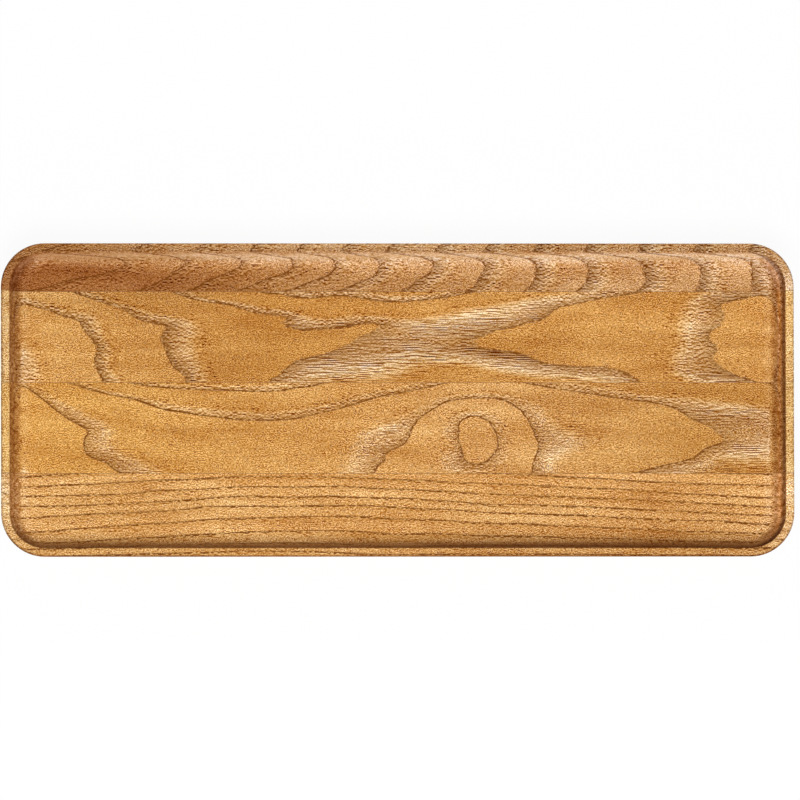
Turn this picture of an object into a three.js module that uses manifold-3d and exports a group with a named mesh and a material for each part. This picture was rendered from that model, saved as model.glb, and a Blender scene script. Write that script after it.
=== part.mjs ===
// A long rectangular appetizer plate in solid wood. Four staves are edge-glued into one panel with their grain
// along X, and the panel is then routed to a shallow tray: a narrow flat rim, a wall that leans outward, a cove
// that runs into the flat floor, rounded corners, and sides that lean in to an eased base edge.
// Millimetres, +Z up. The origin is the middle of the underside, and +Y points to the back edge.
import * as THREE from "three";
import { mergeVertices } from "three/addons/utils/BufferGeometryUtils.js";
import Module from "manifold-3d";

// Outside of the plate
const LENGTH = 380; // along the grain
const WIDTH = 150; // across the staves
const HEIGHT = 20;
const CORNER_RADIUS = 21; // outer corners, seen from above
const SIDE_DRAFT = 6; // degrees that the sides lean in towards the base
const BASE_EDGE_RADIUS = 3;
const RIM_OUTER_RADIUS = 1.2; // eased outer edge of the rim

// Recess
const FLOOR_THICKNESS = 8;
const RIM_WIDTH = 4.2; // from the outside to the top of the wall
const RIM_INNER_RADIUS = 0.8; // eased inner edge of the rim
const WALL_DRAFT = 15; // degrees that the wall leans outward
const COVE_RADIUS = 5.5; // between the wall and the floor
const CUTTER_RADIUS = 2; // tightest inner corner that the router can leave

// Staves from the back edge to the front. The front stave takes what is left of the width.
const BACK_STAVE_WIDTH = 22.5;
const UPPER_MIDDLE_STAVE_WIDTH = 43.4;
const LOWER_MIDDLE_STAVE_WIDTH = 43.3;
const GLUE_LINE = 0.2; // thickness of the glue between two staves

// Fineness of the round stretches
const CORNER_STEPS = 14; // steps round each corner
const ARC_DIVISIONS = 4; // half the steps along each arc of the section
const OVERCUT = 1; // how far a raw stave stands past the finished plate

const wasm = await Module();
wasm.setup();

// The finishes, with the colours of the four staves
const woodFinish = (color) => new THREE.MeshStandardMaterial({ color, roughness: 0.55, metalness: 0 });
const BACK_WOOD = woodFinish(0xb98650);
const UPPER_WOOD = woodFinish(0xcb9558);
const LOWER_WOOD = woodFinish(0xcd985a);
const FRONT_WOOD = woodFinish(0xd29c60);
const DRIED_GLUE = new THREE.MeshStandardMaterial({ color: 0x8a5a2c, roughness: 0.45, metalness: 0 });

// A closed geometry as a solid that can be cut
function solidOf(geometry) {
  const bare = geometry.clone();
  bare.deleteAttribute("normal");
  bare.deleteAttribute("uv");
  const merged = mergeVertices(bare);
  return new wasm.Manifold(
    new wasm.Mesh({
      numProp: 3,
      vertProperties: new Float32Array(merged.attributes.position.array),
      triVerts: new Uint32Array(merged.index.array),
    }),
  );
}

// A cut solid as a geometry that can be drawn
function geometryOf(solid) {
  const cut = solid.getMesh();
  const geometry = new THREE.BufferGeometry();
  geometry.setAttribute("position", new THREE.BufferAttribute(new Float32Array(cut.vertProperties), 3));
  geometry.setIndex(new THREE.BufferAttribute(new Uint32Array(cut.triVerts), 1));
  geometry.computeVertexNormals();
  return geometry;
}

// The section from the edge of the underside, up the side, over the rim and down the wall to the floor.
// Its x is the inset from the plate's outline and its y is the height.
function traySection() {
  const side = THREE.MathUtils.degToRad(SIDE_DRAFT);
  const wall = THREE.MathUtils.degToRad(WALL_DRAFT);
  const rimOuter = new THREE.Vector2(RIM_OUTER_RADIUS, HEIGHT - RIM_OUTER_RADIUS);
  const sideTop = rimOuter.y - RIM_OUTER_RADIUS * Math.sin(side);
  const sideFoot = BASE_EDGE_RADIUS * (1 - Math.sin(side));
  const baseEdge = new THREE.Vector2(
    RIM_OUTER_RADIUS +
      (BASE_EDGE_RADIUS - RIM_OUTER_RADIUS) * Math.cos(side) +
      (sideTop - sideFoot) * Math.tan(side),
    BASE_EDGE_RADIUS,
  );
  const rimInner = new THREE.Vector2(
    RIM_WIDTH - (RIM_INNER_RADIUS * (1 - Math.sin(wall))) / Math.cos(wall),
    HEIGHT - RIM_INNER_RADIUS,
  );
  const coveHeight = FLOOR_THICKNESS + COVE_RADIUS;
  const cove = new THREE.Vector2(
    RIM_WIDTH + (COVE_RADIUS + (HEIGHT - coveHeight) * Math.sin(wall)) / Math.cos(wall),
    coveHeight,
  );
  const down = 1.5 * Math.PI;
  const up = 0.5 * Math.PI;
  const section = new THREE.Path();
  section.absarc(baseEdge.x, baseEdge.y, BASE_EDGE_RADIUS, down, Math.PI + side, true);
  section.absarc(rimOuter.x, rimOuter.y, RIM_OUTER_RADIUS, Math.PI + side, up, true);
  section.absarc(rimInner.x, rimInner.y, RIM_INNER_RADIUS, up, wall, true);
  section.absarc(cove.x, cove.y, COVE_RADIUS, Math.PI + wall, down, false);
  return section.getPoints(ARC_DIVISIONS);
}

// The plate's outline drawn in by an inset, anticlockwise seen from above
function outlineAt(inset) {
  const radius = Math.max(CORNER_RADIUS - inset, CUTTER_RADIUS);
  const cornerX = LENGTH / 2 - inset - radius;
  const cornerY = WIDTH / 2 - inset - radius;
  const outline = [];
  for (let corner = 0; corner < 4; corner += 1) {
    const centreX = corner === 0 || corner === 3 ? cornerX : -cornerX;
    const centreY = corner < 2 ? cornerY : -cornerY;
    for (let step = 0; step <= CORNER_STEPS; step += 1) {
      const angle = (corner + step / CORNER_STEPS) * 0.5 * Math.PI;
      outline.push([centreX + radius * Math.cos(angle), centreY + radius * Math.sin(angle)]);
    }
  }
  return outline;
}

// The whole tray: the section carried round the outline, closed by the flat underside and the flat floor
function trayForm() {
  const section = traySection();
  const round = 4 * (CORNER_STEPS + 1);
  const vertices = section.flatMap((point) => outlineAt(point.x).flatMap(([x, y]) => [x, y, point.y]));
  const undersideCentre = section.length * round;
  const floorCentre = undersideCentre + 1;
  vertices.push(0, 0, 0, 0, 0, FLOOR_THICKNESS);
  const faces = [];
  const lastRing = (section.length - 1) * round;
  for (let place = 0; place < round; place += 1) {
    const next = (place + 1) % round;
    for (let ring = 0; ring < lastRing; ring += round) {
      const above = ring + round;
      faces.push(ring + place, ring + next, above + next);
      faces.push(ring + place, above + next, above + place);
    }
    faces.push(undersideCentre, next, place);
    faces.push(floorCentre, lastRing + place, lastRing + next);
  }
  const geometry = new THREE.BufferGeometry();
  geometry.setAttribute("position", new THREE.Float32BufferAttribute(vertices, 3));
  geometry.setIndex(faces);
  return solidOf(geometry);
}

// A raw strip of the panel between two planes across the plate, a little larger than the finished plate
function rawStrip(frontY, backY) {
  const endX = LENGTH / 2 + OVERCUT;
  const plan = new THREE.Shape();
  plan.moveTo(-endX, frontY);
  plan.lineTo(endX, frontY);
  plan.lineTo(endX, backY);
  plan.lineTo(-endX, backY);
  plan.closePath();
  const strip = new THREE.ExtrudeGeometry(plan, { depth: HEIGHT + 2 * OVERCUT, bevelEnabled: false });
  strip.translate(0, 0, -OVERCUT);
  return solidOf(strip);
}

// The strips of the glued panel from back to front: where each starts and ends, and its finish
function panelStrips() {
  const upperBack = WIDTH / 2 - BACK_STAVE_WIDTH - GLUE_LINE;
  const lowerBack = upperBack - UPPER_MIDDLE_STAVE_WIDTH - GLUE_LINE;
  const frontBack = lowerBack - LOWER_MIDDLE_STAVE_WIDTH - GLUE_LINE;
  const panelBack = WIDTH / 2 + OVERCUT;
  const panelFront = -panelBack;
  const backFront = upperBack + GLUE_LINE;
  const upperFront = lowerBack + GLUE_LINE;
  const lowerFront = frontBack + GLUE_LINE;
  return [
    { name: "back_stave", front: backFront, back: panelBack, finish: BACK_WOOD },
    { name: "back_glue_line", front: upperBack, back: backFront, finish: DRIED_GLUE },
    { name: "upper_middle_stave", front: upperFront, back: upperBack, finish: UPPER_WOOD },
    { name: "middle_glue_line", front: lowerBack, back: upperFront, finish: DRIED_GLUE },
    { name: "lower_middle_stave", front: lowerFront, back: lowerBack, finish: LOWER_WOOD },
    { name: "front_glue_line", front: frontBack, back: lowerFront, finish: DRIED_GLUE },
    { name: "front_stave", front: panelFront, back: frontBack, finish: FRONT_WOOD },
  ];
}

// Every strip is routed to the tray's form, as the glued panel is.
const plate = new THREE.Group();
const tray = trayForm();
for (const { name, front, back, finish } of panelStrips()) {
  const piece = new THREE.Mesh(geometryOf(rawStrip(front, back).intersect(tray)), finish);
  piece.name = name;
  plate.add(piece);
}

export default plate;
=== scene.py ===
"""Dresses a long wooden appetizer plate: four edge-glued staves, each with its own figure of growth rings,
the glue between them, and the white stage that the plate lies on. Growth lines, and depths and heights on
the surface, are in millimetres. All other lengths are in metres."""

import math

import bmesh
import bpy
import numpy as np
from bpy.props import FloatProperty, FloatVectorProperty, PointerProperty
from mathutils import Matrix, Vector


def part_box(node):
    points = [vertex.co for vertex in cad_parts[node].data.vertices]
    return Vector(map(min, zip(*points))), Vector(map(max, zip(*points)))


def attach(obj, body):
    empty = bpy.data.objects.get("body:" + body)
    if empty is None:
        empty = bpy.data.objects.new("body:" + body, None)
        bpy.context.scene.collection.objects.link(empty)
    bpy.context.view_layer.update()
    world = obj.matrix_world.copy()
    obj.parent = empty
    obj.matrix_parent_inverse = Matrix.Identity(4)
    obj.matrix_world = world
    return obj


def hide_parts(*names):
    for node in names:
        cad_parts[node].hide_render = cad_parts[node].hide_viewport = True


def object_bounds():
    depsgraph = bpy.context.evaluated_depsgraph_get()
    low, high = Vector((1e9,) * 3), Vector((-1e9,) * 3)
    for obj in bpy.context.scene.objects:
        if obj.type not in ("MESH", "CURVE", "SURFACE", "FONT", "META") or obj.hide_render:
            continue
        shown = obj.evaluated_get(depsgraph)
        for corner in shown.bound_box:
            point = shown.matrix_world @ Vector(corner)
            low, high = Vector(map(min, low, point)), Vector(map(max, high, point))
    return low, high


bl_info = {
    "name": "Wooden appetizer plate",
    "version": (1, 0, 0),
    "blender": (4, 5, 0),
    "location": "View3D > Sidebar > Plate",
    "description": "Builds the staves, the glue lines and the stage of a long wooden appetizer plate",
    "category": "Object",
}

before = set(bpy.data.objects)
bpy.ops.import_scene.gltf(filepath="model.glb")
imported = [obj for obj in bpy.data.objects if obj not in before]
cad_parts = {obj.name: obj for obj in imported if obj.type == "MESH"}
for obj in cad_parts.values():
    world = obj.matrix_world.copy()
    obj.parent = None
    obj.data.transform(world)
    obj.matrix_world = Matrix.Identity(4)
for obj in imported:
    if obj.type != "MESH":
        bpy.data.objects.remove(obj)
CAD_BOX = [list(corner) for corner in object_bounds()]
GLUE_LINES = ("back_glue_line", "middle_glue_line", "front_glue_line")
MILLIMETRES = 1000.0

# Fineness of the mesh
BASE_EDGE_STEPS = 6
RIM_OUTER_STEPS = 7
RIM_INNER_STEPS = 6
COVE_STEPS = 10
CORNER_STEPS = 16
SAME_PLACE = 1e-7
WELD = 1e-6
TINY = 1e-6
CREASE = math.radians(35)

# What the marks on the wood do to its red, green and blue
GRAIN_SPREAD = (1.1, 1.85, 3.4)
LINE_SHADE = (0.3, 0.2, 0.1)
END_GRAIN_SHADE = (0.66, 0.58, 0.58)
# Painted shade on the outer edge of the rim
EDGE_PAINTED_SHADE = (0.42, 0.34, 0.28)
# Painted shade along the walls and rim edges, and painted light where it goes below 0
PAINTED_SHADE_TINT = (0.72, 0.78, 0.8)
# Paler rim at both ends, partly painted light
RIM_PALENESS_AND_LIGHT = (1.13, 1.42, 2.15)
# Painted highlight on the back wall, and painted glints at the foot of the end walls
PAINTED_WALL_HIGHLIGHT = (1.17, 1.58, 2.75)
GRAIN_POWER = 2.4
DARKEST_TONE = 0.1

# How many waves of noise a millimetre has along the grain, across it and upward
SWAY = (0.015, 0.06, 0.06)
WANDER = (0.055, 0.32, 0.32)
CLOUD = (0.02, 0.1, 0.1)
FLECK = (0.7, 0.6, 0.15)
SOAKED = (0.3, 2.0, 1.2)

# Length in millimetres that the ramp of a stave's tints covers, and how far the back edge is ahead on it
TINT_SPAN = 400.0
EDGE_LEAD = 65.0

# The growth lines on the floor of the plate, seen from above. Each entry holds a ring number and points
# where the ring has that number, and the rings are counted in the direction of growth.
BACK_GROWTH = [
    (1, [(-176, 52.8), (-168, 54.3), (-160, 57), (-152, 59), (-144, 60.2), (-137, 62.3), (-132, 64)]),
    (2, [(-126, 52.6), (-119, 54.8), (-113, 57.5), (-109, 60.3), (-105, 63)]),
    (3, [(-101, 52.8), (-95, 55), (-90, 58), (-84, 60.3), (-79, 62.5)]),
    (4, [(-78, 52.5), (-72, 54.2), (-66, 57), (-60, 59.3), (-54, 61), (-51, 63.3)]),
    (5, [(-56, 52.4), (-50, 53.7), (-44, 56.2), (-37, 58.9), (-32, 61), (-30.3, 63.4)]),
    (6, [(-31, 52.5), (-25, 53.8), (-19, 56.5), (-13, 59), (-10, 60.5), (-9.3, 62.8)]),
    (7, [(2, 52.6), (7, 55.3), (11, 58.7), (15, 61), (17.5, 64)]),
    (8, [(33, 52.6), (37, 55), (39.3, 58.5), (41, 62)]),
    (9, [(60.5, 52.6), (64, 55.3), (66.3, 58.5), (66.5, 61.5)]),
    (10, [(86, 52.7), (89.5, 55), (91.5, 58), (91.5, 61)]),
    (11, [(115, 52.7), (118.5, 55.5), (120, 59), (118.5, 61.5)]),
    (12, [(144, 53), (145.3, 57), (146, 60.3)]),
    (13, [(171, 53), (170.7, 58), (170.5, 63)]),
]
UPPER_GROWTH = [
    (1, [(-186, 47), (-175, 45.3), (-168, 43.5), (-160, 40.5), (-154, 39), (-150, 34), (-146, 29.3),
         (-144, 26), (-144.3, 22), (-145, 19), (-143.5, 14.5), (-140.5, 9)]),
    (2, [(-159, 53), (-150, 50.3), (-143, 47.5), (-135, 45), (-127, 41), (-123, 38.3), (-116, 37),
         (-110.3, 35.8), (-112, 33.5), (-112.7, 29), (-110.5, 24), (-108.5, 18), (-105.5, 14.8),
         (-102.5, 13), (-101, 9)]),
    (3, [(-111, 53), (-101, 49.8), (-90, 47), (-80, 45.7), (-73, 43.5), (-66, 41.5), (-57, 41), (-53, 40),
         (-55, 37.5), (-52, 35.2), (-45, 33.6), (-36, 34.4), (-27, 34.8), (-20, 36), (-14, 37.2),
         (-9, 36.8), (-8.5, 35.2), (-12, 33), (-18, 31), (-22, 28), (-28, 25), (-38, 22), (-47, 19.8),
         (-53, 16), (-57, 12.3), (-62, 9.3)]),
    (4, [(-70, 53), (-62, 51.3), (-54, 50.4), (-45, 49), (-36, 49.3), (-27, 50), (-18, 49.2), (-10, 47.9),
         (0, 47.3), (10, 47.8), (20, 49), (30, 50.5), (41, 53)]),
    (3, [(122, 53), (112, 51.2), (105, 50), (97, 48.7), (90, 47.2), (83, 45.9), (78, 44.5), (74, 41.5),
         (69, 38.3), (62, 37), (56, 35.4), (50, 34.3), (45, 32), (41, 30.6), (38, 29.2), (39, 27),
         (42, 25.3), (50, 24.3), (58, 23.2), (65, 21), (72, 18.2), (80, 17.2), (90, 16.8), (100, 16.5),
         (106, 15.3), (111, 13.3), (116, 10.3), (119, 8)]),
    (2, [(182, 49.5), (176, 50.2), (168, 49), (160, 47.6), (155.5, 45.8), (158, 42.5), (157.3, 39),
         (154, 35), (150.3, 32), (152, 28), (154.8, 25.3), (152, 21), (155, 17.2), (160, 14), (165, 12),
         (171, 10), (176, 8)]),
    # Single places between the lines, which hold the rings apart
    (0.15, [(-177, 14), (-177, 10)]), (0.28, [(-170, 15), (-172, 20)]), (0.6, [(-160, 25)]),
    (0.8, [(-156, 32)]), (1.3, [(-165, 46.5), (-136.5, 20), (-138, 29)]), (1.38, [(-133, 14)]),
    (1.35, [(-155, 43.5)]), (1.5, [(-140, 43), (-130, 25), (-165, 50)]), (1.8, [(-120, 28), (165, 30)]),
    (1.6, [(176, 30)]), (2.12, [(148, 12), (165, 52)]), (2.4, [(140, 51)]), (2.2, [(141, 30)]),
    (2.3, [(-95, 25)]), (2.38, [(133, 30)]), (2.4, [(130, 12)]), (2.5, [(-95, 42), (125, 30)]),
    (2.55, [(-80, 25), (128, 46)]), (2.6, [(110, 30)]), (2.8, [(-60, 25)]), (2.85, [(75, 30)]),
    (2.92, [(55, 29)]), (2.93, [(-40, 28)]), (2.97, [(-22, 32)]), (3.1, [(2, 34), (30, 33), (-30, 18)]),
    (3.12, [(0, 27), (57, 38)]), (3.15, [(30, 22), (55, 17)]), (3.2, [(85, 13), (85, 50), (-40, 12)]),
    (3.18, [(0, 20), (30, 38)]), (3.21, [(57, 43)]), (3.25, [(-40, 39)]),
    (3.3, [(0, 40), (30, 18), (55, 13)]), (3.27, [(0, 14)]), (3.31, [(30, 43)]), (3.35, [(85, 9)]),
    (3.36, [(57, 49), (0, 9)]), (3.42, [(30, 14)]), (3.5, [(-90, 51), (55, 9)]),
    (3.6, [(0, 44), (-35, 44), (30, 9)]), (3.52, [(30, 47)]),
]
LOWER_GROWTH = [
    (1, [(-186, 9.5), (-178, 6.2), (-173, 3.3), (-168, -1), (-163, -5), (-157, -9.3), (-151, -12.5),
         (-148, -14.7), (-149.7, -18), (-150.3, -22.5), (-149, -25.5), (-145, -28), (-140, -29.2),
         (-137, -32), (-133, -34.6)]),
    (2, [(-158, 9), (-150, 6), (-143, 4), (-135, 2.3), (-127, 0.6), (-120, -1.5), (-113, -4), (-104, -5.5),
         (-95, -6.8), (-85, -8.3), (-75, -9.3), (-65, -9.5), (-55, -9.2), (-46, -8.2), (-38, -6.4),
         (-28, -4), (-18, -1.2), (-8, 1.7), (2, 3.4), (10, 5.3), (18, 7.1), (26, 8.6)]),
    (3, [(-130, 8.7), (-120, 6.9), (-110, 5.9), (-95, 5.2), (-80, 4.7), (-65, 4.2), (-57, 4.4), (-48, 6),
         (-40, 7), (-33, 8.6)]),
    (1, [(-11, -35), (-8.5, -31), (-5, -28.5), (-5.2, -25.3), (-1, -23.3), (4, -20.8), (7, -16.5),
         (9, -11.5), (13, -7), (18, -4), (23, -1), (30, 0.5), (38, 1.1), (46, 1.1), (52, -0.1), (57, -3),
         (61, -7), (64, -12), (66.5, -17.5), (67.6, -22), (66.5, -26), (65, -30), (64.3, -35)]),
    (0, [(30.8, -10.2), (34, -8.1), (38, -7.7), (42, -8.9), (45.3, -11.8), (47.5, -16), (48.2, -20),
         (47.3, -24), (44.5, -27.2), (41, -29.5), (37, -30), (34, -28.6), (31.9, -25.3), (30.8, -21),
         (30.2, -16), (30.2, -12.5)]),
    (2, [(58, 9), (66, 7.5), (72, 6.3), (80, 5.1), (90, 3.7), (100, 2), (110, 0.6), (120, -0.5),
         (128, -1.9), (135, -4.5), (141, -8.5), (148, -11.5), (154, -15.5), (157, -18.8), (152, -21.3),
         (146.5, -23.5), (143, -26.7), (136, -28.8), (128, -30.7), (120, -32.8), (112, -34.8)]),
    # Single places between the lines, which hold the rings apart
    (-0.35, [(38.5, -19)]), (0.42, [(23, -20)]), (0.3, [(53, -25)]), (0.28, [(38, -34.5)]),
    (0.4, [(-176, -25)]), (0.5, [(55, -18)]), (0.55, [(-168, -20)]),
    (0.6, [(15, -18), (40, -3), (-160, -32)]), (0.85, [(62, -18)]), (1.08, [(72, -22)]),
    (1.15, [(-8, -15), (-125, -32)]), (1.2, [(-18, -28), (81, -20)]), (1.25, [(-137, -20)]),
    (1.35, [(-20, -15), (42, 4)]), (1.45, [(-100, -31)]), (1.4, [(95, -18)]),
    (1.5, [(-35, -30), (-165, 6)]), (1.55, [(-110, -20), (-40, -22)]), (1.7, [(-70, -22)]),
    (1.75, [(42, 8), (120, -15)]), (1.85, [(-70, -13)]), (1.92, [(143, -18)]), (2.08, [(164, -15)]),
    (2.14, [(170, -20)]), (2.16, [(176, -12)]), (2.28, [(170, -3), (150, -28)]), (2.45, [(120, 4)]),
    (2.5, [(-125, 4.5)]), (2.55, [(-70, -1), (-100, 1)]), (2.6, [(140, 5)]), (2.34, [(165, -30)]),
    (2.65, [(160, 4)]), (2.38, [(175, -32)]),
]
FRONT_GROWTH = [
    (0, [(180, -40.3), (165, -39.9), (150, -39.4), (130, -38.7), (115, -38), (100, -37.1), (85, -36.4),
         (70, -35.5), (60, -34.9)]),
    (1, [(-180, -41), (-160, -40), (-140, -39), (-120, -37.8), (-100, -37.2), (-88, -36.4), (-70, -36),
         (-50, -36), (-25, -36.2), (-10, -36.8), (10, -37.7), (30, -38.6), (60, -40), (80, -41),
         (100, -41.7), (120, -42.8), (140, -44.4), (160, -45.3), (180, -45.8)]),
    (2, [(-180, -45.5), (-160, -45), (-130, -44.2), (-115, -42.6), (-90, -41.5), (-70, -40.6), (-50, -41),
         (-30, -40.8), (-10, -41.4), (10, -42.2), (40, -44), (70, -45.2), (100, -46.6), (120, -47.2),
         (140, -48.2), (160, -49.6), (180, -50.6)]),
    (3, [(-180, -50.3), (-150, -49.7), (-125, -48.5), (-100, -47), (-80, -45.6), (-65, -45.4), (-50, -45.8),
         (-35, -45.3), (-15, -46), (10, -46.7), (25, -47.8), (45, -49.4), (75, -49.9), (100, -50.9),
         (120, -51.9), (150, -53.2), (180, -55)]),
    (4, [(-180, -56), (-165, -54.9), (-145, -53.7), (-110, -52.3), (-90, -50.4), (-65, -50), (-40, -49.8),
         (-15, -49.8), (0, -50.5), (30, -52), (60, -53.4), (90, -54.6), (115, -56.1), (150, -57),
         (175, -58.6)]),
    (5, [(-178, -62.6), (-155, -61), (-140, -60), (-120, -58.5), (-95, -57), (-70, -55.9), (-45, -55.1),
         (-20, -55.1), (0, -56), (30, -57.5), (60, -58.6), (90, -60), (115, -60.8), (140, -62.3),
         (170, -63.3)]),
    (6, [(-165, -68), (-145, -67), (-120, -65.2), (-95, -63.7), (-70, -62.4), (-45, -61.9), (-15, -62.3),
         (15, -63.2), (45, -64.4), (80, -65.2), (110, -66), (150, -67.5)]),
    (6.75, [(-150, -70.8), (0, -70.6), (150, -70.8)]),
    (7.64, [(-150, -73.9), (0, -73.5), (150, -73.9)]),
]


def srgb(red, green, blue):
    """A screen colour, from 0 to 255, as the linear values that sockets take."""

    def linear(level):
        share = level / 255
        return share / 12.92 if share <= 0.04045 else ((share + 0.055) / 1.055) ** 2.4

    return linear(red), linear(green), linear(blue)


def metres(name, description, default):
    return FloatProperty(
        name=name, description=description, default=default, min=0, unit="LENGTH", precision=4
    )


def angle(name, description, degrees):
    return FloatProperty(name=name, description=description, default=math.radians(degrees), subtype="ANGLE")


def watts(name, description, default):
    return FloatProperty(name=name, description=description, default=default, unit="POWER")


def colour(name, description, default):
    return FloatVectorProperty(
        name=name, description=description, default=default, size=3, min=0, max=1, subtype="COLOR"
    )


class PlateForm(bpy.types.PropertyGroup):
    """Sizes of the routed panel. The overall sizes come from the CAD model."""

    length: metres("Length", "Along the grain", CAD_BOX[1][0] - CAD_BOX[0][0])
    width: metres("Width", "Across the staves", CAD_BOX[1][1] - CAD_BOX[0][1])
    height: metres("Height", "From the underside to the rim", CAD_BOX[1][2] - CAD_BOX[0][2])
    corner_radius: metres("Corner radius", "Outer corners, seen from above", 0.021)
    base_edge_radius: metres("Base edge radius", "Eased edge of the underside", 0.003)
    rim_outer_radius: metres("Rim outer radius", "Eased outer edge of the rim", 0.0012)
    rim_inner_radius: metres("Rim inner radius", "Eased inner edge of the rim", 0.0008)
    rim_width: metres("Rim width", "From the outside to the top of the wall", 0.0042)
    floor_thickness: metres("Floor thickness", "From the underside to the floor", 0.008)
    cove_radius: metres("Cove radius", "Between the wall and the floor", 0.0055)
    cell: metres("Cell", "Spacing of the points on the floor and the underside", 0.0015)
    side_draft: angle("Side draft", "Lean of the sides towards the base", 6)
    wall_draft: angle("Wall draft", "Outward lean of the wall", 15)


class WoodColours(bpy.types.PropertyGroup):
    """Colours of the oiled wood and of the dried glue."""

    back_left: colour("Back stave, left", "Ripe wood at the left end", srgb(162, 99, 44))
    back_middle: colour("Back stave, middle", "Ripe wood nearer the middle", srgb(184, 126, 65))
    back_right: colour("Back stave, right", "Ripe wood at the right end", srgb(207, 153, 91))
    upper_left: colour("Upper stave, left", "Ripe wood at the left end", srgb(207, 150, 77))
    upper_middle: colour("Upper stave, middle", "Ripe wood nearer the middle", srgb(188, 127, 55))
    upper_right: colour("Upper stave, right", "Ripe wood at the right end", srgb(202, 143, 70))
    lower_left: colour("Lower stave, left", "Ripe wood at the left end", srgb(208, 149, 70))
    lower_middle: colour("Lower stave, middle", "Ripe wood nearer the middle", srgb(207, 150, 81))
    lower_right: colour("Lower stave, right", "Ripe wood at the right end", srgb(194, 136, 64))
    front_left: colour("Front stave, left", "Ripe wood at the left end", srgb(217, 161, 89))
    front_middle: colour("Front stave, middle", "Ripe wood nearer the middle", srgb(218, 161, 89))
    front_right: colour("Front stave, right", "Ripe wood at the right end", srgb(217, 159, 88))
    growth_line: colour("Growth line", "First row of pores of a ring", srgb(120, 64, 14))
    pore_row: colour("Pore rows", "Wood among the first pores of a ring", srgb(171, 123, 69))
    early: colour("Early wood", "Porous wood of a ring", srgb(191, 147, 96))
    pale_early: colour("Pale early wood", "Where the pores end", srgb(227, 189, 132))
    glue: colour("Glue", "Dried glue between the staves", srgb(190, 132, 70))
    soaked_glue: colour("Soaked glue", "Glue that has soaked into the pores", srgb(140, 88, 44))


class Studio(bpy.types.PropertyGroup):
    """Lamps and camera."""

    key_power: watts("Key", "Large soft lamp above the front of the plate", 22.3)
    low_power: watts("Low lamp", "Strip lamp near the table", 3.4)
    far_power: watts("Far lamp", "Strip lamp behind the plate", 6.0)
    sky: FloatProperty(name="Sky", description="Even light from all round", default=0.15, min=0)
    lens: FloatProperty(name="Lens", description="Focal length in millimetres", default=900.0, min=1)


class Socket:
    """An output of a node in an expression. Arithmetic adds Math nodes for values and Vector Math nodes for
    vectors."""

    def __init__(self, paint, output):
        self.paint = paint
        self.output = output

    def apply(self, operation, *terms):
        vector = any(
            term.output.type != "VALUE" if isinstance(term, Socket) else isinstance(term, tuple)
            for term in terms
        )
        kind = "ShaderNodeVectorMath" if vector else "ShaderNodeMath"
        if vector:
            terms = [(term,) * 3 if isinstance(term, (int, float)) else term for term in terms]
        return self.paint.node(kind, {"operation": operation}, dict(enumerate(terms)))

    def __add__(self, other):
        return self.apply("ADD", self, other)

    def __radd__(self, other):
        return self.apply("ADD", other, self)

    def __sub__(self, other):
        return self.apply("SUBTRACT", self, other)

    def __rsub__(self, other):
        return self.apply("SUBTRACT", other, self)

    def __mul__(self, other):
        return self.apply("MULTIPLY", self, other)

    def __rmul__(self, other):
        return self.apply("MULTIPLY", other, self)

    def __truediv__(self, other):
        return self.apply("DIVIDE", self, other)

    def __rtruediv__(self, other):
        return self.apply("DIVIDE", other, self)

    def __pow__(self, other):
        return self.apply("POWER", self, other)

    def __rpow__(self, other):
        return self.apply("POWER", other, self)

    def fraction(self):
        return self.apply("FRACT", self)

    def whole(self):
        return self.apply("FLOOR", self)

    def at_least(self, floor):
        return self.apply("MAXIMUM", self, floor)

    def at_most(self, ceiling):
        return self.apply("MINIMUM", self, ceiling)

    def scaled(self, factor):
        """This vector times a value."""
        return self.paint.node(
            "ShaderNodeVectorMath", {"operation": "SCALE"}, {"Vector": self, "Scale": factor}
        )

    def fade(self, start, end):
        """0 where this value is at start and 1 where it is at end, with a soft step between them."""
        low, high, first, last = (start, end, 0, 1) if start < end else (end, start, 1, 0)
        return self.paint.node(
            "ShaderNodeMapRange",
            {"interpolation_type": "SMOOTHSTEP"},
            {"Value": self, "From Min": low, "From Max": high, "To Min": first, "To Max": last},
        )


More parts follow.
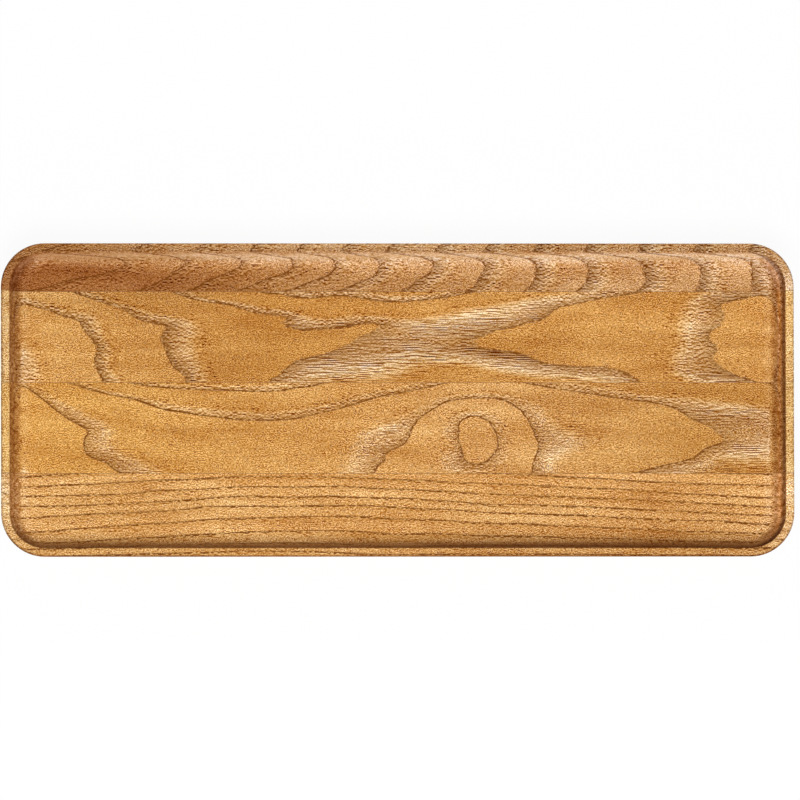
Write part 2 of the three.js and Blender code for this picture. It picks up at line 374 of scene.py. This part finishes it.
class Paint:
    """The node tree of one material or of the world."""

    def __init__(self, owner):
        owner.use_nodes = True
        self.tree = owner.node_tree
        self.tree.nodes.clear()

    def node(self, kind, settings=None, inputs=None, output=None):
        """Adds a node, makes its settings, fills or links its sockets, and returns one output."""
        node = self.tree.nodes.new(kind)
        for name, value in (settings or {}).items():
            if name == "stops":
                self.set_stops(node.color_ramp, value)
            else:
                setattr(node, name, value)
        for key, value in (inputs or {}).items():
            socket = self.find(node.inputs, key)
            if isinstance(value, Socket):
                self.tree.links.new(value.output, socket)
            elif hasattr(value, "__len__") and socket.type == "RGBA":
                socket.default_value = (*value[:3], 1)
            else:
                socket.default_value = value
        shown = [socket for socket in node.outputs if socket.enabled]
        if not shown:
            return None
        return Socket(self, shown[0] if output is None else self.find(node.outputs, output))

    @staticmethod
    def find(sockets, key):
        """The socket with this number, identifier or name."""
        if isinstance(key, int):
            return sockets[key]
        for socket in sockets:
            if socket.identifier == key:
                return socket
        return sockets[key]

    @staticmethod
    def set_stops(ramp, stops):
        while len(ramp.elements) < len(stops):
            ramp.elements.new(0.5)
        for element, (place, tint) in zip(ramp.elements, stops):
            element.position = place
            element.color = (*tint[:3], 1)

    def place(self):
        """The place on the object, in millimetres."""
        return self.node("ShaderNodeTexCoord", output="Object").scaled(MILLIMETRES)

    def noise(self, place, detail):
        return self.node(
            "ShaderNodeTexNoise",
            {"noise_dimensions": "3D"},
            {"Vector": place, "Scale": 1.0, "Detail": detail, "Roughness": 0.5},
            "Fac",
        )

    def tints(self, value, stops):
        """The colour that a ramp of tints has at a value."""
        return self.node("ShaderNodeValToRGB", {"stops": stops}, {0: value})

    def mix(self, factor, first, second):
        """The first colour where the factor is 0 and the second where it is 1."""
        return self.node(
            "ShaderNodeMix",
            {"data_type": "RGBA"},
            {"Factor_Float": factor, "A_Color": first, "B_Color": second},
            "Result_Color",
        )

    def blend(self, factor, first, second):
        """Two values mixed by a third one."""
        return self.node(
            "ShaderNodeMix", {"data_type": "FLOAT"}, {0: factor, "A_Float": first, "B_Float": second}
        )

    def attribute(self, name):
        return self.node("ShaderNodeAttribute", {"attribute_name": name}, output="Fac")


class GrowthField:
    """The ring number over the floor of a stave: the smoothest sheet through its growth lines. Rings run on
    along the grain further than across it, so lengths along the grain count for less."""

    UNIT = np.array((60.0, 20.0))
    SLACK = 0.001
    CHUNK = 8000
    LEAST_SQUARE = 1e-12

    def __init__(self, growth):
        self.knots = np.array([point for _, points in growth for point in points], float) / self.UNIT
        rings = [ring for ring, points in growth for _ in points]
        count = len(self.knots)
        system = np.zeros((count + 3, count + 3))
        system[:count, :count] = self.bend(self.knots)[0] + self.SLACK * np.eye(count)
        system[:count, count] = 1
        system[:count, count + 1 :] = self.knots
        system[count:, :count] = system[:count, count:].T
        self.weights = np.linalg.solve(system, np.array(rings + [0, 0, 0], float))

    def bend(self, places):
        """How far each knot bends the sheet at each place, and its slope along and across the grain."""
        apart = places[:, None] - self.knots[None]
        square = np.maximum((apart**2).sum(2), self.LEAST_SQUARE)
        log = np.log(square)
        return 0.5 * square * log, apart * (log + 1)[..., None]

    def at(self, points):
        """Ring numbers and their slopes in rings a millimetre at points in millimetres."""
        rings, slopes = [], []
        count = len(self.knots)
        weights, level, tilt = self.weights[:count], self.weights[count], self.weights[count + 1 :]
        for start in range(0, len(points), self.CHUNK):
            places = points[start : start + self.CHUNK] / self.UNIT
            bend, lean = self.bend(places)
            rings.append(bend @ weights + level + places @ tilt)
            slopes.append((np.einsum("ijk,j->ik", lean, weights) + tilt) / self.UNIT)
        return np.concatenate(rings), np.concatenate(slopes)


def arc(centre, radius, first, last, steps):
    """Points on an arc of the section, from the first angle to the last."""
    angles = np.linspace(first, last, steps + 1)
    return [(centre[0] + radius * math.cos(a), centre[1] + radius * math.sin(a)) for a in angles]


def straight(start, end, cell):
    """Points between two points of the section, without its ends."""
    steps = max(1, math.ceil(math.dist(start, end) / cell))
    shares = np.arange(1, steps) / steps
    return [(start[0] + (end[0] - start[0]) * s, start[1] + (end[1] - start[1]) * s) for s in shares]


def plate_section(form):
    """The section as (inset from the outline, height): from the middle of the underside outward, up the side,
    over the rim, down the wall and the cove, and inward on the floor."""
    side, wall = form.side_draft, form.wall_draft
    outer = (form.rim_outer_radius, form.height - form.rim_outer_radius)
    side_top = outer[1] - form.rim_outer_radius * math.sin(side)
    side_foot = form.base_edge_radius * (1 - math.sin(side))
    base = (
        form.rim_outer_radius
        + (form.base_edge_radius - form.rim_outer_radius) * math.cos(side)
        + (side_top - side_foot) * math.tan(side),
        form.base_edge_radius,
    )
    inner = (
        form.rim_width - form.rim_inner_radius * (1 - math.sin(wall)) / math.cos(wall),
        form.height - form.rim_inner_radius,
    )
    cove_height = form.floor_thickness + form.cove_radius
    cove = (
        form.rim_width + (form.cove_radius + (form.height - cove_height) * math.sin(wall)) / math.cos(wall),
        cove_height,
    )
    up, down, left = 0.5 * math.pi, 1.5 * math.pi, math.pi
    curves = [
        [(form.corner_radius, 0.0)],
        arc(base, form.base_edge_radius, down, left + side, BASE_EDGE_STEPS),
        arc(outer, form.rim_outer_radius, left + side, up, RIM_OUTER_STEPS),
        arc(inner, form.rim_inner_radius, up, wall, RIM_INNER_STEPS),
        arc(cove, form.cove_radius, left + wall, down, COVE_STEPS),
        [(form.corner_radius, form.floor_thickness)],
    ]
    section = list(curves[0])
    for curve in curves[1:]:
        section += straight(section[-1], curve[0], form.cell) + curve
    return section


def spaced(marks, cell):
    """Places through all the marks, no further apart than a cell."""
    places = [marks[0]]
    for start, end in zip(marks, marks[1:]):
        steps = max(1, math.ceil((end - start) / cell))
        places += [start + (end - start) * step / steps for step in range(1, steps + 1)]
    return places


def outline_runs(front, back, along, across, kept):
    """The stretches of the plate's outline that a stave has, anticlockwise seen from above. Each place is a
    point of the inner rectangle that the corners turn about, and the direction outward from it."""
    end, edge = along[-1], across[-1]
    turns = [step / CORNER_STEPS * 0.5 * math.pi for step in range(1, CORNER_STEPS)]
    right = [((end, y), (1, 0)) for y in kept]
    left = [((-end, y), (-1, 0)) for y in reversed(kept)]
    if back > edge:
        corner = [((end, edge), (math.cos(a), math.sin(a))) for a in turns]
        mirrored = [((-end, edge), (-math.sin(a), math.cos(a))) for a in turns]
        return [right + corner + [((x, edge), (0, 1)) for x in reversed(along)] + mirrored + left]
    if front < -edge:
        corner = [((-end, -edge), (-math.cos(a), -math.sin(a))) for a in turns]
        mirrored = [((end, -edge), (math.sin(a), -math.cos(a))) for a in turns]
        return [left + corner + [((x, -edge), (0, -1)) for x in along] + mirrored + right]
    return [right, left]


def grid_faces(first, columns, rows):
    """The faces of a grid of points that is numbered column by column from a first point on."""
    faces = []
    for column in range(columns - 1):
        for row in range(rows - 1):
            corner = first + column * rows + row
            faces.append((corner, corner + rows, corner + rows + 1, corner + 1))
    return faces


def stave_shell(form, front, back):
    """A stave's own part of the plate's surface, open at the glued faces."""
    reach = (form.length / 2 - form.corner_radius, form.width / 2 - form.corner_radius)
    joints = [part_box(node)[side].y for node in GLUE_LINES for side in (0, 1)]
    along = spaced([-reach[0], 0.0, reach[0]], form.cell)
    across = spaced(sorted([-reach[1], reach[1], *joints]), form.cell)
    kept = [y for y in across if front - SAME_PLACE <= y <= back + SAME_PLACE]
    section = plate_section(form)
    points, faces = [], []
    for run in outline_runs(front, back, along, across, kept):
        faces += grid_faces(len(points), len(run), len(section))
        for (x, y), way in run:
            for inset, z in section:
                out = form.corner_radius - inset
                points.append((x + way[0] * out, y + way[1] * out, z))
    for z, upward in ((form.floor_thickness, True), (0.0, False)):
        flat = grid_faces(len(points), len(along), len(kept))
        faces += flat if upward else [face[::-1] for face in flat]
        points += [(x, y, z) for x in along for y in kept]
    shell = bmesh.new()
    corners = [shell.verts.new(point) for point in points]
    for face in faces:
        shell.faces.new([corners[index] for index in face])
    bmesh.ops.remove_doubles(shell, verts=shell.verts, dist=WELD)
    shell.normal_update()
    return shell


def outline_depth(form, places):
    """How far inside the plate's outline each place is, in millimetres, and the way out from there."""
    half = np.array((form.length, form.width)) / 2 * MILLIMETRES
    radius = form.corner_radius * MILLIMETRES
    past_corner = np.abs(places[:, :2]) - (half - radius)
    outward = np.maximum(past_corner, 0.0)
    reach = np.linalg.norm(outward, axis=1)
    depth = radius - np.where(reach > 0, reach, past_corner.max(1))
    return depth, outward * np.sign(places[:, :2]) / np.maximum(reach, TINY)[:, None]


def ramp(values, start, end):
    """0 where the values are at start and 1 where they are at end, straight between them."""
    return np.clip((values - start) / (end - start), 0.0, 1.0)


def stretch(values, start, first, last, end):
    """0 up to start, 1 between first and last, and 0 again from end on."""
    return ramp(values, start, first) * ramp(values, end, last)


def surface_marks(form, places):
    """How much painted shade and painted light each place has and how pale its rim is, by its depth inside
    the outline, its height from the rim down, and the side of the plate that it is on."""
    depth, outward = outline_depth(form, places)
    height = places[:, 2] - form.height * MILLIMETRES
    right, back = np.maximum(outward, 0.0).T
    left, front = np.maximum(-outward, 0.0).T
    on_floor = ramp(height, -13.0, -12.5)
    on_wall = ramp(height, -12.0, -10.0)
    lip = 4.4 - 0.2 * (left + right)

    # Painted shade on the outer edge, mostly at the front, and the paler rim at the ends, partly painted
    # light
    rubbed = ramp(depth, 1.1, 0.5) * ramp(height, -3.5, -1.5) * (0.1 + 0.9 * front)
    sanded = stretch(depth, -0.3, 0.1, lip - 0.5, lip) * ramp(height, -1.6, -0.7)
    sanded *= (1.0 - front - back) * (0.85 + 0.15 * outward[:, 0])

    # Painted shade under the lip, most at the front, along the rim's edges, and on the floor at the right of
    # the front
    facing = 0.06 + 0.94 * front + 0.04 * back + 0.44 * right
    hollow = stretch(depth, lip - 0.5, lip, 4.9, 7.4 + 2.6 * front) * ramp(height, -12.2, -9.2) * facing
    hollow += ramp(depth, 0.3, 0.8) * ramp(height, -0.6, -0.1) * (back * 0.2 + front * 0.14)
    hollow += stretch(depth, 1.5, 2.5, 3.9, 4.3) * ramp(height, -1.0, -0.3) * back * 0.2
    hollow += ramp(depth, 20.0, 13.0) * ramp(places[:, 0], 0.0, 40.0) * on_floor * front * 0.1

    # Painted light: paler strips along the walls and on the rim at the right
    hollow -= stretch(depth, 5.0, 6.2, 6.4, 7.6) * on_wall * right * 1.1
    hollow -= stretch(depth, 4.4, 5.2, 5.8, 6.8) * on_wall * left * 0.25
    hollow -= stretch(depth, 4.6, 5.3, 6.2, 7.0) * on_wall * back * 0.2
    hollow -= sanded * right * 0.2

    # Painted highlight on the wall at the back and painted glints at the foot of the walls at both ends
    wall = ramp(depth, 4.3, 5.1) * ramp(height, -12.2, -9.0) * back
    wall += stretch(depth, 9.5, 11.0, 12.0, 14.5) * on_floor * (left + right) * 0.25

    outer_side = ramp(height, -0.8, -2.0) * ramp(depth, 4.2, 4.0)
    underside = ramp(height, -12.5, -13.5)
    return {
        "rubbed": rubbed,
        "sanded": sanded,
        "hollow": hollow,
        "wall": wall,
        "edge": ramp(depth, 15.0, 9.0) * back * (1.0 + 0.7 * ramp(height, -2.0, -0.5)),
        "outside": np.maximum(outer_side, underside),
    }


def grow_figure(shell, form, growth, rise):
    """Gives each point of the shell its ring number on the floor below it, how fast the rings pass along the
    surface, how much they pass along the grain, how much end grain there is, and the marks of the surface,
    painted shade and painted light among them."""
    places = np.array([vert.co for vert in shell.verts]) * MILLIMETRES
    normals = np.array([vert.normal for vert in shell.verts])
    rings, slopes = GrowthField(growth).at(places[:, :2])
    steep = np.column_stack([slopes, np.full(len(rings), rise)])
    steep -= normals * (steep * normals).sum(1, keepdims=True)
    pitch = np.linalg.norm(steep, axis=1)
    values = {
        "ring": rings,
        "pitch": pitch,
        "crossing": np.abs(steep[:, 0]) / np.maximum(pitch, TINY),
        "end_grain": np.abs(normals[:, 0]),
        **surface_marks(form, places),
    }
    for name, numbers in values.items():
        layer = shell.verts.layers.float.new(name)
        for vert, number in zip(shell.verts, numbers):
            vert[layer] = number


def close_stave(shell, name):
    """Closes the glued faces and returns the stave as an object."""
    open_edges = [edge for edge in shell.edges if edge.is_boundary]
    glued = bmesh.ops.holes_fill(shell, edges=open_edges, sides=0)["faces"]
    bmesh.ops.triangulate(shell, faces=glued)
    bmesh.ops.recalc_face_normals(shell, faces=shell.faces)
    for face in shell.faces:
        face.smooth = True
    for edge in shell.edges:
        edge.smooth = edge.calc_face_angle(0.0) < CREASE
    mesh = bpy.data.meshes.new(name)
    shell.to_mesh(mesh)
    shell.free()
    stave = bpy.data.objects.new(name, mesh)
    bpy.context.scene.collection.objects.link(stave)
    return stave


class Strands:
    """The strands of a stave's grain, which run along it and sway a little."""

    def __init__(self, paint, place, seed):
        self.paint = paint
        self.place = place
        self.shift = (seed * 37.0, seed * 11.0, seed * 5.0)
        self.rows = place * (0.0, 1.0, 1.0) + paint.noise(place * SWAY + self.shift, 1.0) * 3.0

    def clouds(self, waves):
        """Soft noise about 0 that doesn't keep to the strands."""
        return self.paint.noise(self.place * waves + self.shift, 2.0) - 0.5

    def dashes(self, rows_in_mm, fineness):
        """Noise along the strands, each strand set off against the two beside it."""
        parts = []
        for aside in (-1.0, 0.0, 1.0):
            rows = (self.rows * rows_in_mm + (0.0, aside, 0.0)).whole() * (0.0, 7.0, 5.0) + (0.5, 0.5, 0.5)
            onward = self.place * (fineness, 0.0, 0.0)
            parts.append(self.paint.noise(rows + onward + self.shift, 0.0) - 0.5)
        return parts[1] - (parts[0] + parts[2]) * 0.4

    def fibres(self, short_dash):
        """A value of its own for each short cell of each strand, set off against the cells around it."""
        cells = self.rows * 2.1 + self.place * (2.4, 0.0, 0.0) + short_dash * (5.0, 0.0, 0.0)

        def speck(onward, aside):
            cell = (cells + (onward, aside, 0.0)).whole()
            return self.paint.node("ShaderNodeTexWhiteNoise", inputs={"Vector": cell}, output="Value") - 0.5

        beside = (speck(0.0, -1.0) + speck(0.0, 1.0)) * 0.38 + (speck(-1.0, 0.0) + speck(1.0, 0.0)) * 0.22
        return (speck(0.0, 0.0) - beside).at_most(0.3)


def wood_material(name, ripe_tints, colours, form, kind):
    """Oiled wood: each ring starts with a dark line and a streaky porous band, and ripens to plain wood."""
    paint = Paint(bpy.data.materials.new(name))
    place = paint.place()
    along, across, height = (
        paint.node("ShaderNodeSeparateXYZ", inputs={0: place}, output=axis) for axis in "XYZ"
    )
    crossing, end_grain, sanded, outside, wall, edge = (
        paint.attribute(mark) for mark in ("crossing", "end_grain", "sanded", "outside", "wall", "edge")
    )
    pitch = paint.attribute("pitch")
    narrow = pitch.fade(0.02, 0.07)
    marked = pitch.fade(0.007, 0.024)
    pitch = pitch.at_least(0.012)
    rightward = along.fade(kind.turn[0], kind.turn[-1])

    # The grain that the rings fray along
    strands = Strands(paint, place, kind.seed)
    short_dash = strands.dashes(rows_in_mm=1.5, fineness=0.8)
    long_dash = strands.dashes(rows_in_mm=2.0, fineness=0.16) * 1.5
    dash = paint.blend((crossing + narrow - outside * 0.8).at_most(1.0), long_dash, short_dash)
    cloud = strands.clouds(CLOUD)

    # How far each place is into its ring, into its ring in millimetres, and into the porous band
    jitter = strands.clouds(WANDER) * 1.2 + short_dash * paint.blend(crossing, *kind.frayed)
    risen = kind.rise * (height - form.floor_thickness * MILLIMETRES)
    ripeness = (paint.attribute("ring") + risen + jitter * pitch).fraction()
    past = ripeness / pitch
    share = ripeness / paint.blend(rightward, *kind.band) + dash * 0.4 + sanded * 1.2

    # Porous wood that ripens, and the shade after each growth line
    stops = [(0.5 + turn / TINT_SPAN, tint) for turn, tint in zip(kind.turn, ripe_tints)]
    ripe = paint.tints((along + edge * EDGE_LEAD) / TINT_SPAN + 0.5, stops)
    early = paint.tints(share, [(0.1, colours.pore_row), (0.4, colours.early), (0.75, colours.pale_early)])
    oiled = paint.blend(rightward, *kind.oil) + crossing * 0.5 + narrow * 0.4 + outside * 0.3
    early = paint.mix(oiled, early, ripe)
    wood = paint.mix(share.fade(0.55, 1.0), early, ripe)
    # Painted highlight on the back wall and painted glints at the foot of the end walls
    wood = paint.mix(wall, wood, (wood * 0.5 + ripe * 0.5) * PAINTED_WALL_HIGHLIGHT)
    shade = past.fade(7.0, 0.6) * crossing * paint.blend(rightward, *kind.shade) + past.fade(3.0, 0.6) * 0.1
    wood = paint.mix(shade * (marked * 0.6 + 0.4), wood, wood * LINE_SHADE)

    # Streaks, fibres, and flecks where the grain ends
    porous = share.fade(1.25, 0.75)
    speckled = porous * crossing * kind.speckled
    streaky = porous * (kind.hatch - kind.streak) + kind.streak - speckled * 0.7 + outside * 0.15
    # Streaks and fibres fade under the painted highlight on the walls
    hatching = (dash * 4.0).at_least(-1.9).at_most(0.45) * streaky * (1.0 - wall * 0.4)
    fibrous = 0.5 - porous * 0.22 + speckled * 0.5 + edge * 0.06
    fibre = strands.fibres(short_dash) * fibrous * (1.0 - (outside * 0.75 + wall * 0.5))
    grain = fibre + hatching * 0.25 + strands.clouds(FLECK) * end_grain * 0.9
    tone = 1.0 + (grain + cloud * 0.28) * GRAIN_SPREAD
    wood = wood * tone.at_least(DARKEST_TONE) ** GRAIN_POWER
    wood = wood * (1.0 + across.fade(30.0, 44.0) * rightward.fade(0.05, 0.25) * kind.pale_back)

    # The dark line of pores that each ring starts with
    pores = past.fade(0.9, 0.5) * (0.95 + cloud * 1.5 - short_dash * kind.broken)
    strength = paint.blend(rightward, *kind.line) * (1.0 - sanded * 0.7)
    growth_line = (pores * end_grain.fade(0.5, 0.2) * marked * strength).at_least(0.0).at_most(1.0)
    wood = paint.mix(growth_line, wood, colours.growth_line)

    # Darker end grain, the paler rim at both ends, which is partly painted light,
    # and painted shade and light on the outer edge and along the walls
    wood = paint.mix(end_grain.fade(0.08, 0.6) * (1.0 - sanded), wood, wood * END_GRAIN_SHADE)
    wood = paint.mix(sanded, wood, wood * RIM_PALENESS_AND_LIGHT)
    wood = paint.mix(paint.attribute("rubbed"), wood, wood * EDGE_PAINTED_SHADE)
    wood = wood * (1.0 - paint.attribute("hollow") * PAINTED_SHADE_TINT)

    rough = 0.5 - grain * 0.6
    bump = paint.node("ShaderNodeBump", inputs={"Strength": 0.15, "Distance": 0.0002, "Height": grain})
    shader = paint.node(
        "ShaderNodeBsdfPrincipled",
        inputs={"Base Color": wood, "Roughness": rough, "Specular IOR Level": 0.05, "Normal": bump},
    )
    paint.node("ShaderNodeOutputMaterial", inputs={"Surface": shader})
    return bpy.data.materials[name]


def glue_material(colours):
    """Dried glue, darker where it has soaked into the pores beside it."""
    paint = Paint(bpy.data.materials.new("dried_glue"))
    soaked = paint.noise(paint.place() * SOAKED, 3.0).fade(0.4, 0.65)
    tint = paint.mix(soaked, colours.glue, colours.soaked_glue)
    rough = 0.42 + soaked * 0.15
    shader = paint.node(
        "ShaderNodeBsdfPrincipled",
        inputs={"Base Color": tint, "Roughness": rough, "Specular IOR Level": 0.1},
    )
    paint.node("ShaderNodeOutputMaterial", inputs={"Surface": shader})
    return bpy.data.materials["dried_glue"]


class StaveBuilder:
    """What the operators of the four staves share."""

    node = ""
    slot = ""
    tint = ""
    growth = ()
    seed = 0
    rise = 0.0  # rings that pass in a millimetre upward
    turn = (-150.0, -60.0, 110.0)  # places of the three tints along the stave
    band = (0.3, 0.32)  # share of a ring that is porous, at the left and the right
    oil = (0.0, 0.0)  # how far porous wood has the tint of ripe wood, at the left and the right
    shade = (0.2, 0.2)  # darkness after a growth line, at the left and the right
    line = (1.0, 0.95)  # strength of the growth lines, at the left and the right
    broken = 1.6  # how far the growth lines break up into dashes
    frayed = (1.2, 2.8)  # how ragged rings are that run along the grain and that cross it
    hatch = 1.0  # strength of the streaks in porous wood
    streak = 0.1  # strength of the streaks in ripe wood
    speckled = 0.0  # how far porous wood has specks in place of streaks
    pale_back = 0.0  # how much paler the back edge is

    def execute(self, context):
        form, colours = context.scene.plate_form, context.scene.plate_colours
        lowest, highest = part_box(self.node)
        shell = stave_shell(form, lowest.y, highest.y)
        if not shell.faces:
            raise RuntimeError(f"{self.node} has no faces between its glued edges")
        grow_figure(shell, form, self.growth, self.rise)
        stave = close_stave(shell, f"figured_{self.node}")
        ripe_tints = [getattr(colours, f"{self.tint}_{part}") for part in ("left", "middle", "right")]
        stave.data.materials.append(
            wood_material(f"oiled_{self.tint}_wood", ripe_tints, colours, form, self)
        )
        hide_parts(self.node)
        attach(stave, "root")
        return {"FINISHED"}


class PLATE_OT_back_stave(StaveBuilder, bpy.types.Operator):
    """Builds the back stave, whose rings cross it in slanting waves"""

    bl_idname = "plate.back_stave"
    bl_label = "Back stave"
    node = "back_stave"
    slot = "back_wood"
    tint = "back"
    growth = BACK_GROWTH
    seed = 1
    rise = 0.10
    turn = (-120.0, -55.0, 40.0)
    band = (0.4, 0.5)
    oil = (0.6, -0.2)
    shade = (0.3, 0.3)
    line = (1.3, 1.0)
    broken = 1.0
    frayed = (0.3, 2.8)
    streak = 0.3


class PLATE_OT_upper_middle_stave(StaveBuilder, bpy.types.Operator):
    """Builds the upper middle stave, with arches at its ends and a long streaky band between them"""

    bl_idname = "plate.upper_middle_stave"
    bl_label = "Upper middle stave"
    node = "upper_middle_stave"
    slot = "upper_wood"
    tint = "upper"
    growth = UPPER_GROWTH
    seed = 2
    rise = 0.18
    band = (0.33, 0.39)
    oil = (0.0, -0.1)
    shade = (0.42, 0.25)
    line = (1.0, 0.7)
    pale_back = 0.08


class PLATE_OT_lower_middle_stave(StaveBuilder, bpy.types.Operator):
    """Builds the lower middle stave, with an eye in its figure"""

    bl_idname = "plate.lower_middle_stave"
    bl_label = "Lower middle stave"
    node = "lower_middle_stave"
    slot = "lower_wood"
    tint = "lower"
    growth = LOWER_GROWTH
    seed = 3
    rise = 0.18
    turn = (-150.0, 45.0, 150.0)
    band = (0.3, 0.42)
    oil = (0.15, 0.1)
    frayed = (0.9, 1.0)
    speckled = 0.75


class PLATE_OT_front_stave(StaveBuilder, bpy.types.Operator):
    """Builds the front stave, with thin lines along its length"""

    bl_idname = "plate.front_stave"
    bl_label = "Front stave"
    node = "front_stave"
    slot = "front_wood"
    tint = "front"
    growth = FRONT_GROWTH
    seed = 4
    rise = 0.03
    band = (0.35, 0.35)
    oil = (0.65, 0.65)
    line = (0.95, 0.95)
    broken = 2.2
    hatch = 0.5
    streak = 0.3


class PLATE_OT_glue_lines(bpy.types.Operator):
    """Finishes the three glue lines of the CAD model"""

    bl_idname = "plate.glue_lines"
    bl_label = "Glue lines"

    def execute(self, context):
        material = glue_material(context.scene.plate_colours)
        for node in GLUE_LINES:
            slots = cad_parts[node].data.materials
            slots.clear()
            slots.append(material)
        return {"FINISHED"}


class PLATE_OT_stage(bpy.types.Operator):
    """Lays the white floor, hangs the lamps and aims the camera"""

    bl_idname = "plate.stage"
    bl_label = "Stage"

    def execute(self, context):
        studio = context.scene.plate_studio
        self.floor()
        self.sky(studio)
        self.lamp("key_lamp", (-0.02, -0.65, 1.45), (1.2, 0.8), studio.key_power)
        self.lamp("low_lamp", (0.1, -1.15, 0.42), (1.0, 0.3), studio.low_power)
        self.lamp("far_lamp", (-0.1, 1.2, 0.55), (1.0, 0.3), studio.far_power)
        self.camera(context, studio)
        context.scene.view_settings.view_transform = "Standard"
        return {"FINISHED"}

    def white_share(self, paint):
        """1 for rays from the camera, mirrors and glass, which see white, and 0 for light on the plate."""
        kinds = ("Camera", "Glossy", "Transmission")
        rays = [paint.node("ShaderNodeLightPath", output=f"Is {kind} Ray") for kind in kinds]
        return (rays[0] + rays[1] + rays[2]).at_most(1.0)

    def floor(self):
        mesh = bpy.data.meshes.new("white_floor")
        half, drop = 3.0, 0.0002
        corners = [(-half, -half, 0), (half, -half, 0), (half, half, 0), (-half, half, 0)]
        mesh.from_pydata(corners, [], [(0, 1, 2, 3)])
        floor = bpy.data.objects.new("white_floor", mesh)
        floor.location.z = -drop
        bpy.context.scene.collection.objects.link(floor)
        paint = Paint(bpy.data.materials.new("white_floor"))
        white = paint.node("ShaderNodeEmission", inputs={"Color": (1, 1, 1), "Strength": 1.0})
        paper = paint.node("ShaderNodeBsdfDiffuse", inputs={"Color": (0.95, 0.95, 0.95)})
        # The paper under the white keeps a faint shadow
        seen_white = self.white_share(paint) * 0.94
        surface = paint.node("ShaderNodeMixShader", inputs={0: seen_white, 1: paper, 2: white})
        paint.node("ShaderNodeOutputMaterial", inputs={"Surface": surface})
        mesh.materials.append(bpy.data.materials["white_floor"])

    def sky(self, studio):
        world = bpy.data.worlds.new("white_studio")
        bpy.context.scene.world = world
        paint = Paint(world)
        strength = paint.blend(self.white_share(paint), studio.sky, 1.0)
        light = paint.node("ShaderNodeBackground", inputs={"Color": (1, 1, 1), "Strength": strength})
        paint.node("ShaderNodeOutputWorld", inputs={"Surface": light})

    def lamp(self, name, place, size, power):
        lamp = bpy.data.lights.new(name, "AREA")
        lamp.shape = "RECTANGLE"
        lamp.size, lamp.size_y = size
        lamp.energy = power
        hung = bpy.data.objects.new(name, lamp)
        hung.location = place
        hung.rotation_mode = "QUATERNION"
        hung.rotation_quaternion = (-Vector(place)).to_track_quat("-Z", "Y")
        bpy.context.scene.collection.objects.link(hung)

    def camera(self, context, studio):
        data = bpy.data.cameras.new("camera")
        data.lens = studio.lens
        data.sensor_width = 36.0
        data.clip_end = 100.0
        camera = bpy.data.objects.new("camera", data)
        context.scene.collection.objects.link(camera)
        aim = Vector((0.00098, 0.0, 0.019))
        away = Vector((-0.06, -0.04, 1.0)).normalized()
        upward = away.cross(Vector((1, 0, 0))).normalized()
        across = upward.cross(away)
        seen_width = 0.38265
        distance = seen_width * data.lens / data.sensor_width
        turned = Matrix((across, upward, away)).transposed().to_4x4()
        camera.matrix_world = Matrix.Translation(aim + away * distance) @ turned
        context.scene.camera = camera


STEPS = (
    PLATE_OT_back_stave,
    PLATE_OT_upper_middle_stave,
    PLATE_OT_lower_middle_stave,
    PLATE_OT_front_stave,
    PLATE_OT_glue_lines,
    PLATE_OT_stage,
)
GROUPS = {"plate_form": PlateForm, "plate_colours": WoodColours, "plate_studio": Studio}


class VIEW3D_PT_plate(bpy.types.Panel):
    """Lists the steps that build the plate"""

    bl_label = "Wooden appetizer plate"
    bl_idname = "VIEW3D_PT_plate"
    bl_space_type = "VIEW_3D"
    bl_region_type = "UI"
    bl_category = "Plate"

    def draw(self, context):
        for step in STEPS:
            self.layout.operator(step.bl_idname)
        for name, group in GROUPS.items():
            box = self.layout.box()
            for setting in group.__annotations__:
                box.prop(getattr(context.scene, name), setting)


def register():
    for group in GROUPS.values():
        bpy.utils.register_class(group)
    for step in (*STEPS, VIEW3D_PT_plate):
        bpy.utils.register_class(step)
    for name, group in GROUPS.items():
        setattr(bpy.types.Scene, name, PointerProperty(type=group))


def unregister():
    for name in GROUPS:
        delattr(bpy.types.Scene, name)
    for step in (VIEW3D_PT_plate, *reversed(STEPS)):
        bpy.utils.unregister_class(step)
    for group in reversed(GROUPS.values()):
        bpy.utils.unregister_class(group)


def main():
    """Builds the plate step by step."""
    register()
    for step in STEPS:
        family, name = step.bl_idname.split(".")
        getattr(getattr(bpy.ops, family), name)()


if __name__ == "__main__":
    main()
